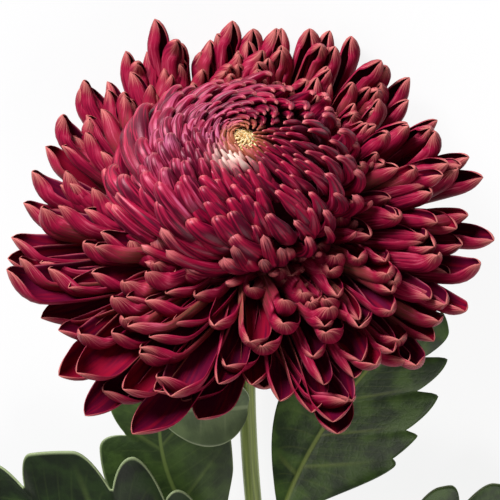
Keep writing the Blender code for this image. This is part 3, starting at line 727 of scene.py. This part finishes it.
# Soft tissue under the florets, matt and ochre, of which only specks show between them.
cushion_finish = new_finish("receptacle_cushion_skin", Base_Color=linear("#A8863C"), Roughness=0.6)
cushion = turned("young_floret_cushion", [
    (0, YOUNG_FLOOR), (0.0047, YOUNG_FLOOR), (0.0048, YOUNG_FLOOR + 0.0014), (0.0036, YOUNG_FLOOR + 0.0026),
    (0.0018, YOUNG_FLOOR + 0.0034), (0, YOUNG_FLOOR + 0.0036),
], CUSHION_SIDES, cushion_finish)
stand_for(cushion, "young_florets")


# The involucre
# The underside of the bloom: a shallow green cup, grown from the stem's swollen end, with two rows of
# small overlapping bracts, each a pointed scale with a low keel.
CUP_PROFILE = [
    (0, -CALYX_DEPTH), (0.0036, -CALYX_DEPTH), (0.0043, -0.0078), (0.0050, -0.0066), (0.0070, -0.0049),
    (0.0092, -0.0034), (0.0108, -0.0020), (0.0120, -0.0006), (0.0127, 0.0005), (0.0128, 0.0012), (0, 0.0012),
]
CUP_SIDES = 64
BRACTS_IN_ROW = 14
BRACT_TURN = math.tau / BRACTS_IN_ROW
BRACT_ROWS, BRACT_COLUMNS = 13, 9
BRACT_HALF_WIDTH = 0.0024
BRACT_THICKNESS = 0.0005
BRACT_BULGE = 0.0006
BRACT_KEEL = 0.0004


def make_bracts(name, root, tip, first_turn, finish):
    """A row of scales that lie on the cup, from the root's (radius, height) to the tip's.

    Half the width is a power of a sine along the scale, which bulges by a sine and falls by t^2 off its keel.
    """
    turn = first_turn + np.arange(BRACTS_IN_ROW)[:, None, None] * BRACT_TURN
    share = np.linspace(0, 1, BRACT_ROWS)[None, :, None]
    t = np.linspace(-1, 1, BRACT_COLUMNS)[None, None, :]
    around = t * BRACT_HALF_WIDTH * np.sin(math.pi * (0.22 + 0.76 * share)) ** 0.7
    radius = mix(root[0], tip[0], share) + BRACT_BULGE * np.sin(math.pi * share) + BRACT_KEEL * (1 - t**2)
    height = mix(root[1], tip[1], share) - BRACT_KEEL * (1 - t**2)
    grid = about_axis(radius, turn, height) + about_axis(around, turn + math.pi / 2, 0)
    points, faces, _ = shells(in_world(grid), BRACT_THICKNESS)
    stand_for(add_piece(name, points, [faces], [finish]), "involucre")


# Waxy green skin, satin on the cup and a little paler and more matt on the thin dry bracts.
cup_skin = new_finish("involucre_skin", Base_Color=linear("#5C6B3A"), Roughness=0.55)
bract_skin = new_finish("involucre_bract_skin", Base_Color=linear("#6B7A45"), Roughness=0.6)
cup = turned("involucre_cup", CUP_PROFILE, CUP_SIDES, cup_skin, in_head=False)
stand_for(cup, "involucre")
make_bracts("involucre_outer_bracts", (0.0046, -0.0074), (0.0108, -0.0036), 0.0, bract_skin)
make_bracts("involucre_inner_bracts", (0.0072, -0.0050), (0.0137, -0.0007), BRACT_TURN / 2, bract_skin)


# The stem
# A firm green stem, ribbed along its length and covered in short down. It bends by the bloom's tilt
# at the neck, lies along the table and ends in a slanting cut that shows its pith.
NECK_STEPS = 60
STRAIGHT_STEPS = 90
STRAIGHT_LENGTH = 0.1250
STEM_SIDES = 48
CUT_SLANT = 0.7
SWELLING_LENGTH = 0.0028
STEM_RIBS = 7
UNDER_RECEPTACLE = RECEPTACLE * np.array([1, 1, 0])
LEAF_FEET = {"leaf_1": 0.1070, "leaf_2": 0.1100, "leaf_3": 0.0970, "leaf_4": 0.1215}


def stem_sway(back):
    """How far right the stem's middle lies at a distance behind the receptacle: a parabola, 0 at the neck."""
    past_neck = back - (CALYX_DEPTH + SEAT_GAP) * math.cos(FACE_TILT)
    return 0.90 * past_neck**2 - 0.060 * past_neck


neck_start = in_world(np.array([[0, 0, -CALYX_DEPTH - SEAT_GAP]]))[0] - UNDER_RECEPTACLE
neck_bend = (neck_start[2] - STEM_FLAT) / (1 - math.cos(FACE_TILT))
slope = FACE_TILT * (1 - np.linspace(0, 1, NECK_STEPS))
neck_back = -neck_start[1] + neck_bend * (math.sin(FACE_TILT) - np.sin(slope))
neck_height = neck_start[2] - neck_bend * (np.cos(slope) - math.cos(FACE_TILT))
straight_back = neck_back[-1] + STRAIGHT_LENGTH * np.arange(1, STRAIGHT_STEPS + 1) / STRAIGHT_STEPS
stem_back = np.hstack([neck_back, straight_back])
stem_height = np.hstack([neck_height, np.full(STRAIGHT_STEPS, neck_height[-1])])
stem_middle = np.stack([stem_sway(stem_back), -stem_back, stem_height], axis=-1)
stem_along = unit(np.gradient(stem_middle, axis=0))
stem_side = unit(np.cross(stem_along, [0.0, 0.0, 1.0]))
stem_up = np.cross(stem_side, stem_along)


def make_stem(name, finishes):
    """Rings about the stem's middle, with low ribs, a bell-shaped swelling at each leaf's foot, and caps."""
    angle = np.linspace(0, math.tau, STEM_SIDES, endpoint=False)
    swell = sum(np.exp(-((stem_back - foot) / SWELLING_LENGTH) ** 2) for foot in LEAF_FEET.values())
    ribs = 1 + 0.028 * np.cos(STEM_RIBS * angle)
    radius = STEM_RADIUS * (0.965 + 0.06 * np.minimum(swell, 1))[:, None] * ribs
    rings = rows_about(stem_middle, (stem_side, radius * np.sin(angle)), (stem_up, radius * np.cos(angle)))
    rings[-1, :, 1] += (rings[-1, :, 2] - STEM_RADIUS) * CUT_SLANT
    ends = np.stack([stem_middle[0], rings[-1].mean(axis=0)])
    points, faces = tubes(rings[None], ends[None], flip=True)
    points[:, 2] = np.maximum(points[:, 2], TABLE_CLEARANCE)
    slots = np.repeat([0, 0, 1], [len(group) for group in faces])
    piece = add_piece(name, points + UNDER_RECEPTACLE, faces, finishes, slots)
    note(
        piece, (len(points),),
        along_mm=np.hstack([np.repeat(stem_back, STEM_SIDES), stem_back[0], stem_back[-1]]) * 1000,
        across_mm=np.hstack([np.tile(angle, len(stem_back)), 0, 0]) * STEM_RADIUS * 1000,
    )
    stand_for(piece, "stem")


def stem_skin(name):
    """Green stem: a waxy skin over long fibres 0.9 mm apart, so pale and deep green run in lines along it."""
    finish = new_finish(name, Roughness=0.5, Sheen_Weight=0.25, Sheen_Tint=linear("#E8F0D0"))
    fibre = streaks(finish.node_tree, (1.1, 0.03, 0.0), Detail=3.0)
    share = add(finish.node_tree, "MapRange", [fibre, 0.35, 0.65])
    return paint(finish, "#56682C", [(share, "#90A050")], fibre, 0.4)


# The cut shows dry, spongy pith: pale and quite matt.
cut_pith = new_finish("stem_pith", Base_Color=linear("#C9CFA0"), Roughness=0.8)
make_stem("leafy_stem", [stem_skin("stem_skin"), cut_pith])


# The leaves
# Leathery lobed blades on short stalks, deep green above and grey-green below, with a raised midrib.
# A vein runs out to each lobe. Each leaf grows from its own foot on the stem's side.
LEAF_ROWS, LEAF_COLUMNS = 112, 41
PETIOLE_ROWS = 18
PETIOLE = 0.0020
BLADE = 0.0007
MIDRIB_RISE, MIDRIB_HALF = 0.0008, 0.0009
LOBE = 0.085

# heading, bend, slant, rise, fall and roll are in degrees. Of widths, wedge and notches, the first is
# for the left half. A notch is a share of the length and the share of the width that it cuts away.
LEAVES = {
    "leaf_1": dict(
        heading=84, bend=-46, side=1, petiole=0.011, length=0.086, widths=(0.0215, 0.0335),
        wedge=(0.55, 0.34), slant=(20, 58), rise=13, fall=-9, roll=0, curl=-0.0015, lean=0.42,
        notches=(
            ((0.50, 0.25), (0.66, 0.30), (0.80, 0.40)),
            ((0.285, 0.10), (0.40, 0.17), (0.56, 0.25), (0.72, 0.32)),
        ),
    ),
    "leaf_2": dict(
        heading=150, bend=-84, side=-1, petiole=0.010, length=0.074, widths=(0.0225, 0.0290),
        wedge=(0.25, 0.25), slant=(20, 58), rise=8, fall=-8, roll=0, curl=-0.0010, lean=0.90,
        notches=(((0.52, 0.42), (0.70, 0.40), (0.85, 0.40)), ((0.55, 0.30), (0.70, 0.35), (0.84, 0.40))),
    ),
    "leaf_3": dict(
        heading=170, bend=6, side=-1, petiole=0.008, length=0.082, widths=(0.0270, 0.0285),
        wedge=(0.30, 0.42), slant=(5, 38), rise=34, fall=-24, roll=-6, curl=0.0030, lean=1.0,
        notches=(((0.30, 0.40), (0.50, 0.40), (0.75, 0.40)), ((0.25, 0.46), (0.415, 0.50), (0.72, 0.52))),
    ),
    "leaf_4": dict(
        heading=32, bend=-26, side=1, petiole=0.019, length=0.072, widths=(0.0245, 0.0240),
        wedge=(0.40, 0.40), slant=(20, 50), rise=26, fall=-20, roll=0, curl=0.0016, lean=0.90,
        notches=(((0.36, 0.45), (0.56, 0.42), (0.78, 0.40)), ((0.30, 0.40), (0.50, 0.40), (0.75, 0.45))),
    ),
}


def half_width(leaf, share, half):
    """Half of a blade's width at a share of its length: a wedge at the base, then a sine, less the notches.

    half is 0 for the left half, 1 for the right. A notch cuts the width most at its own place, and less
    with the distance from there: over a short stretch towards the base, and a long one towards the tip.
    """
    outline = np.sin(math.pi * (0.06 + 0.90 * share**0.85)) ** 0.8
    outline = outline * smooth((share + 0.08) / leaf["wedge"][half])
    dip = np.zeros_like(share)
    for place, cut in leaf["notches"][half]:
        past = share - place
        reach = np.where(past > 0, 2 - leaf["lean"], leaf["lean"]) * LOBE
        dip = np.maximum(dip, cut * np.clip(1 - np.abs(past) / reach, 0, 1) ** 2)
    return leaf["widths"][half] * outline * (1 - dip)


def leaf_grid(leaf, foot_back):
    """A leaf's middle sheet and thickness on rows along it and columns across it, each row's share, and more.

    The midrib is a running sum of steps, whose heading turns evenly and whose climb falls smoothly. Each half
    row slants forward from it. The rest is each column's place from -1 to 1 and its distance from the midrib.
    """
    row = np.arange(-PETIOLE_ROWS, LEAF_ROWS + 1)
    share = np.clip(row / LEAF_ROWS, 0, 1)
    way = (row + PETIOLE_ROWS) / (LEAF_ROWS + PETIOLE_ROWS)
    blade = smooth(share * 8)
    heading = np.radians(leaf["heading"] + leaf["bend"] * way)
    climb = np.radians(mix(leaf["rise"], leaf["fall"], smooth(way * 1.1)))
    along = about_axis(np.cos(climb), heading, np.sin(climb))
    across = about_axis(1, heading + math.pi / 2, 0)
    roll = np.radians(leaf["roll"] * way)[:, None]
    across = across * np.cos(roll) + np.cross(along, across) * np.sin(roll)
    up = np.cross(along, across)

    start_slant = abs(math.sin(math.radians(leaf["heading"]))) + 0.2
    clear = STEM_RADIUS + SEAT_GAP + start_slant * PETIOLE / 2
    foot = np.array([stem_sway(foot_back) + leaf["side"] * clear, -foot_back, STEM_RADIUS])
    step = np.where(row < 0, leaf["petiole"] / PETIOLE_ROWS, leaf["length"] / LEAF_ROWS)
    line = foot + np.vstack([np.zeros(3), np.cumsum(along * step[:, None], axis=0)[:-1]])

    t = np.linspace(-1, 1, LEAF_COLUMNS)
    wide = np.where(t > 0, half_width(leaf, share[:, None], 0), half_width(leaf, share[:, None], 1))
    reach = np.abs(t) * mix(PETIOLE / 2, wide, blade[:, None])
    slant = np.radians(mix(*leaf["slant"], smooth(share))) * blade
    forward = reach * np.sin(slant)[:, None]
    sideways = np.sign(t) * reach * np.cos(slant)[:, None]
    curl = leaf["curl"] * t**2 * blade[:, None]
    grid = rows_about(line, (along, forward), (across, sideways), (up, curl))
    grid[..., 2] = np.maximum(grid[..., 2], BLADE / 2 + TABLE_CLEARANCE)
    round_off = np.sqrt(np.clip(1 - t**2, 0.04, 1))
    thickness = mix(PETIOLE * round_off, BLADE, blade[:, None])
    midrib = MIDRIB_RISE * blade[:, None] * np.exp(-((reach / MIDRIB_HALF) ** 2)) * (1 - share[:, None])
    return grid + UNDER_RECEPTACLE, thickness + midrib, share, t, reach


def leaf_side(name, deep, green, vein, margin, roughness):
    """One face of a leaf: a waxy skin, deep green between the veins, with paler veins and a paler edge.

    A main vein lies where the phase is whole, and fine ones where five times the phase, swept forward, is.
    The green is uneven over 7 mm. The skin's cells make bumps, which are drawn 2 mm wide, as the real
    ones of 0.05 mm would not show.
    """
    finish = new_finish(name, Roughness=roughness, Specular_IOR_Level=0.3)
    tree = finish.node_tree
    place = add(tree, "TexCoord", out="Object")
    cloud = add(tree, "TexNoise", {"Vector": place, "Scale": 140.0, "Detail": 3.0})
    cells = add(tree, "TexVoronoi", {"Vector": place, "Scale": 520.0}, feature="DISTANCE_TO_EDGE")
    side = add(tree, "Math", ["across"], operation="ABSOLUTE")
    swept = add(tree, "Math", ["phase", 5.0, add(tree, "Math", [side, 2.2], **TIMES)], **TIMES_PLUS)
    veins = add(tree, "MapRange", ["across_mm", 1.1, 0.25], **EASED)
    for phase, width, fading, most in (
        ("phase", (0.075, 0.005), (0.95, 0.35), 0.42), (swept, (0.12, 0.0), (0.98, 0.5), 0.135),
    ):
        distance = add(tree, "Math", [phase, 0.5], operation="PINGPONG")
        line = add(tree, "MapRange", [distance, *width], **EASED)
        fade = add(tree, "MapRange", [side, *fading, 0.0, most], **EASED)
        veins = add(tree, "Math", [veins, add(tree, "Math", [line, fade], **TIMES)], operation="MAXIMUM")
    bumps = add(tree, "MapRange", [cells, 0.0, 0.25], **EASED)
    height = add(tree, "Math", [veins, -2.5, bumps], **TIMES_PLUS)
    return paint(finish, deep, [
        (add(tree, "MapRange", [cloud, 0.35, 0.68], **EASED), green),
        (add(tree, "Math", [veins, 0.62], **TIMES), vein),
        (add(tree, "MapRange", [side, 0.96, 1.0, 0.0, 0.55], **EASED), margin),
    ], height, 0.07, 0.0004)


def make_leaf(name, finishes):
    """One closed shell for a stalk and its blade, with the phase that its veins are drawn from.

    The phase is whole along each lobe's middle, where a vein runs, and halfway between two at each notch.
    """
    leaf = LEAVES[name]
    grid, thickness, share, t, reach = leaf_grid(leaf, LEAF_FEET[name])
    points, faces, is_front = shells(grid[None], thickness)
    piece = add_piece(name + "_blade", points, [faces], finishes, is_front)
    phases = []
    for notches in leaf["notches"]:
        places = np.array([place for place, cut in notches])
        middles = np.hstack([places[0] - 0.20, (places[1:] + places[:-1]) / 2, places[-1] + 0.08])
        phase = np.interp(share, middles - 0.06, np.arange(len(middles)), right=len(middles) - 0.5)
        phases.append((phase + np.minimum(0, share - middles[0] + 0.06) * 6)[:, None])
    note(piece, (2, *reach.shape), across=t, across_mm=reach * 1000, phase=np.where(t > 0, *phases))
    stand_for(piece, name)


# Leathery blades have a thick, satin, dark upper skin. A young blade's is thinner and more matt, and
# so is the underside's, which short down greys.
leaf_under = leaf_side("leaf_lower_skin", "#4E5C3C", "#647250", "#8E9A68", "#8E9A72", 0.6)
dark_over = leaf_side("leaf_upper_skin", "#233616", "#486428", "#8C9C48", "#56683C", 0.40)
# As the young upper skin, but darker: a painted shade on the third leaf.
shaded_over = leaf_side("leaf_upper_skin_painted_shade", "#111C0A", "#203212", "#5A6C34", "#98A67A", 0.55)
soft_over = leaf_side("leaf_upper_skin_young", "#233315", "#394E20", "#6C7E40", "#98A67A", 0.55)
for name, over in zip(LEAVES, (dark_over, soft_over, shaded_over, dark_over)):
    make_leaf(name, [leaf_under, over])


# The bract leaf
# The uppermost leaf is small, thin and pale, grown on the stem's upper side close under the bloom. Its
# midrib rises and bends over, and its two halves rise from it as t^2.
BRACT_LEAF_BACK = 0.0545
BRACT_LEAF_LENGTH = 0.0310
BRACT_LEAF_HALF = 0.0110
BRACT_LEAF_HEADING = math.radians(174)
BRACT_LEAF_CLIMBS = (30, -6)
BRACT_LEAF_ROWS, BRACT_LEAF_COLUMNS = 61, 31
BRACT_LEAF_VEINS = 4
share = np.linspace(0, 1, BRACT_LEAF_ROWS)
t = np.linspace(-1, 1, BRACT_LEAF_COLUMNS)
climb = np.radians(mix(*BRACT_LEAF_CLIMBS, smooth(share)))
level = about_axis(1, BRACT_LEAF_HEADING + math.pi / 2, 0)
along = about_axis(np.cos(climb), BRACT_LEAF_HEADING, np.sin(climb))
foot = np.array([stem_sway(BRACT_LEAF_BACK), -BRACT_LEAF_BACK, 2 * STEM_RADIUS + SEAT_GAP + BLADE])
steps = along * BRACT_LEAF_LENGTH / (BRACT_LEAF_ROWS - 1)
line = foot + np.vstack([np.zeros(3), np.cumsum(steps, axis=0)[:-1]])
half = BRACT_LEAF_HALF * np.sin(math.pi * (0.05 + 0.94 * share**0.8)) ** 0.8
up = np.cross(along, level)
grid = rows_about(line, (level, half[:, None] * t), (up, half[:, None] * 0.30 * t**2))
points, faces, is_front = shells((grid + UNDER_RECEPTACLE)[None], BLADE)

# A thin blade in pale down: grey-green and matt, a little less so above.
pale_under = leaf_side("bract_leaf_lower_skin", "#66765A", "#7A8A6A", "#98A682", "#A6B08E", 0.6)
pale_over = leaf_side("bract_leaf_upper_skin", "#4E5E40", "#64764F", "#8A9870", "#A9B48E", 0.5)
bract_leaf = add_piece("bract_leaf_blade", points, [faces], [pale_under, pale_over], is_front)
reach_mm = half[:, None] * np.abs(t) * 1000
note(bract_leaf, (2, *reach_mm.shape), across=t, across_mm=reach_mm, phase=share[:, None] * BRACT_LEAF_VEINS)
stand_for(bract_leaf, "bract_leaf")


# The table and the light
# A pale opal table that glows a little, and one very large soft light from the upper left of the
# picture, with a weak one from the right, as in a studio shot on white.
TABLE_HALF = 1.5

# Opal acrylic, lit from below: it scatters, so it is even, and whiter than its own grey.
table_finish = new_finish(
    "opal_table", Base_Color=linear("#505052"), Roughness=0.6, Emission_Color=linear("#FFFFFF"),
    Emission_Strength=0.875,
)
table_corners = np.array([[-1, -1, 0], [1, -1, 0], [1, 1, 0], [-1, 1, 0]]) * TABLE_HALF
table = add_piece("table", table_corners, [np.array([[0, 1, 2, 3]])], [table_finish])

# Square area lights, each with its place, side, power and colour, and turned to face the receptacle.
for name, place, side, power, tint in (
    ("window", (-0.58, 0.98, 0.46), 0.5, 28, "#FFFFFF"), ("fill", (0.5, -0.7, 0.9), 0.9, 7, "#FFF8F4"),
):
    light = bpy.data.lights.new(name, "AREA")
    light.size = side
    light.energy = power
    light.color = linear(tint)[:3]
    lamp = bpy.data.objects.new(name, light)
    bpy.context.scene.collection.objects.link(lamp)
    facing = (Vector(RECEPTACLE) - Vector(place)).to_track_quat("-Z", "Y")
    lamp.matrix_world = Matrix.Translation(place) @ facing.to_matrix().to_4x4()
world = bpy.data.worlds.new("studio")
bpy.context.scene.world = world
world.use_nodes = True
sky = world.node_tree.nodes["Background"].inputs
sky["Color"].default_value = linear("#F4F6FA")
sky["Strength"].default_value = 0.24


# The camera
# It looks down on the lying flower from a little beyond the bloom, so the bloom's face is seen
# at 34 degrees to its axis, and it is turned so that the stem leaves at the bottom of the picture.
VIEW_ELEVATION = math.radians(70)
VIEW_DISTANCE = 0.80
PICTURE_WIDTH = 0.1500
RECEPTACLE_BELOW_MIDDLE = 0.0006
view_back = Vector((0, math.cos(VIEW_ELEVATION), math.sin(VIEW_ELEVATION)))
view_up = Vector((0, math.sin(VIEW_ELEVATION), -math.cos(VIEW_ELEVATION)))
view_right = Vector((1, 0, 0))
camera_data = bpy.data.cameras.new("camera")
camera = bpy.data.objects.new("camera", camera_data)
bpy.context.scene.collection.objects.link(camera)
aim = Vector(RECEPTACLE) + view_up * RECEPTACLE_BELOW_MIDDLE
camera.matrix_world = Matrix.Translation(aim + view_back * VIEW_DISTANCE) @ Matrix(
    (view_right, view_up, view_back)
).transposed().to_4x4()
camera_data.sensor_width = 36
camera_data.lens = camera_data.sensor_width * VIEW_DISTANCE / PICTURE_WIDTH
camera_data.clip_start = 0.01
bpy.context.scene.view_settings.view_transform = "Standard"
bpy.context.scene.camera = camera
